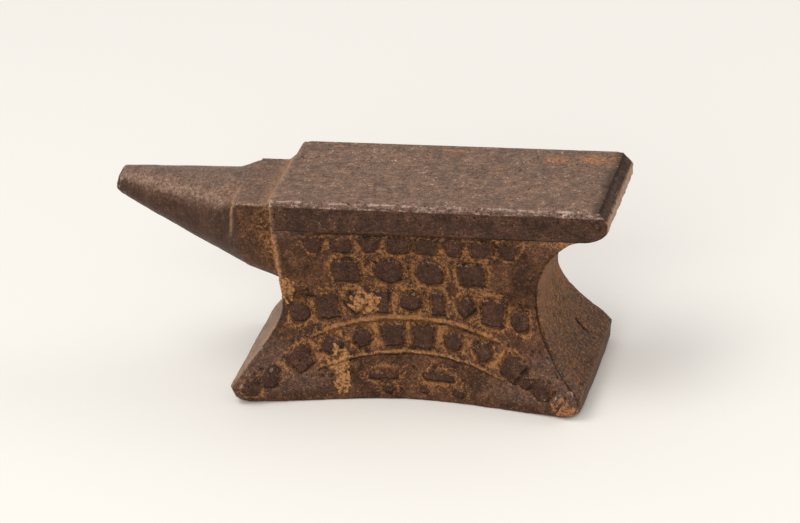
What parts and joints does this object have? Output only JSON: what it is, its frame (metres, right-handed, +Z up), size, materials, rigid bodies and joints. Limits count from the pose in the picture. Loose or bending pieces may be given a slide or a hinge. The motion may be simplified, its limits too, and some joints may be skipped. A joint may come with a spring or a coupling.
{
  "type": "miniature anvil",
  "caption": "Miniature cast-iron anvil with a flat face, short heel, step, conical horn and a waisted body on four feet, with raised geometric ornament on the front.",
  "frame": {"origin": "centre of the base, on the surface that the anvil stands on", "axes": "+X towards the heel, so the horn points along -X; -Y towards the ornamented side; +Z up through the face"},
  "size_m": [0.1262, 0.0442, 0.054],
  "materials": {
    "body_iron": "old rusty casting with brown rust and ochre dirt in its recesses",
    "face_iron": "worn grey-brown working face with fine grain and brighter rubbed edges",
    "horn_iron": "dark brown, handled to a satin polish",
    "plug_iron": "greyer smooth iron, flush with the face"
  },
  "bodies": {
    "root": {"body": "body_iron", "face_plate": "face_iron", "face_plug": "plug_iron", "table": "body_iron", "horn": "horn_iron"}
  },
  "joints": []
}
